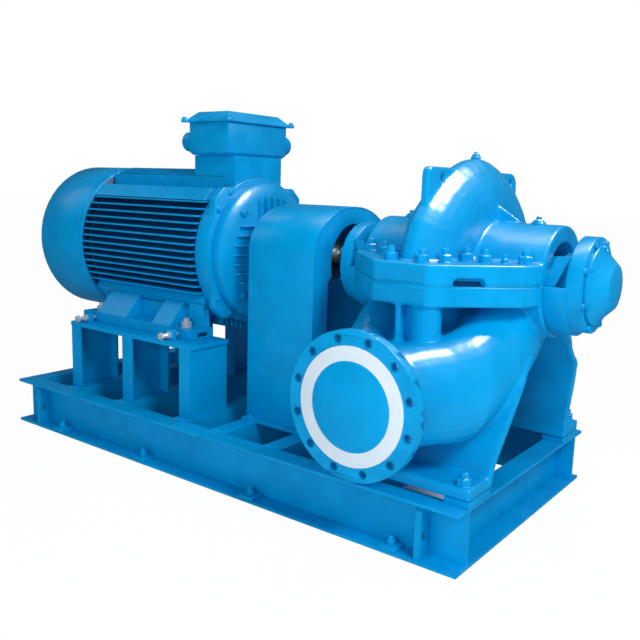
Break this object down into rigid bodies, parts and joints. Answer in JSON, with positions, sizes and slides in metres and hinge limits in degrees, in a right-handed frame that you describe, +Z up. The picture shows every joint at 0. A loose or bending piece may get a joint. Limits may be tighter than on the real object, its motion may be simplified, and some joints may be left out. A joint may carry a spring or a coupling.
{
  "type": "split case pump",
  "caption": "Horizontal split case pump coupled to a finned foot-mounted electric motor under a sheet guard, on a channel-steel base frame.",
  "frame": {"origin": "underside of the middle cross channel of the base, on the shaft's centre plane, at floor level", "axes": "+X along the shaft from the motor to the pump, +Y towards the discharge flange, +Z up"},
  "size_m": [2.348, 1.185, 1.281],
  "materials": {
    "blue_enamel": "gloss",
    "machined_steel": "satin",
    "white_enamel": "semi-gloss"
  },
  "bodies": {
    "root": {"base_beam_front": "blue_enamel", "base_beam_rear": "blue_enamel", "base_cross_channel_1": "blue_enamel", "base_cross_channel_2": "blue_enamel", "base_cross_channel_3": "blue_enamel", "base_cross_channel_4": "blue_enamel", "base_cross_channel_5": "blue_enamel", "base_cross_channel_6": "blue_enamel", "base_end_channel_left": "blue_enamel", "base_end_channel_right": "blue_enamel", "bearing_bracket_drive": "blue_enamel", "bearing_bracket_free": "blue_enamel", "bearing_cap_free": "blue_enamel", "bearing_cover_drive": "blue_enamel", "casing_lower": "blue_enamel", "casing_upper": "blue_enamel", "coupling_guard_shell": "blue_enamel", "coupling_hub_motor": "machined_steel", "coupling_hub_pump": "machined_steel", "discharge_cover": "white_enamel", "gland_drive": "blue_enamel", "gland_free": "blue_enamel", "guard_end_plate_motor": "blue_enamel", "guard_end_plate_pump": "blue_enamel", "guard_support_bar_front": "blue_enamel", "guard_support_bar_rear": "blue_enamel", "motor_end_ring": "blue_enamel", "motor_end_shield_drive": "blue_enamel", "motor_fan_cover": "blue_enamel", "motor_foot_front": "blue_enamel", "motor_foot_rear": "blue_enamel", "motor_frame": "blue_enamel", "motor_pedestal_front": "blue_enamel", "motor_pedestal_rear": "blue_enamel", "motor_shaft": "machined_steel", "pump_packing_front_left": "blue_enamel", "pump_packing_front_right": "blue_enamel", "pump_packing_rear_left": "blue_enamel", "pump_packing_rear_right": "blue_enamel", "pump_shaft": "machined_steel", "suction_cover": "white_enamel", "terminal_box_body": "blue_enamel", "terminal_box_lid": "blue_enamel", "terminal_box_neck": "blue_enamel", "volute_air_plug": "blue_enamel"}
  },
  "joints": []
}
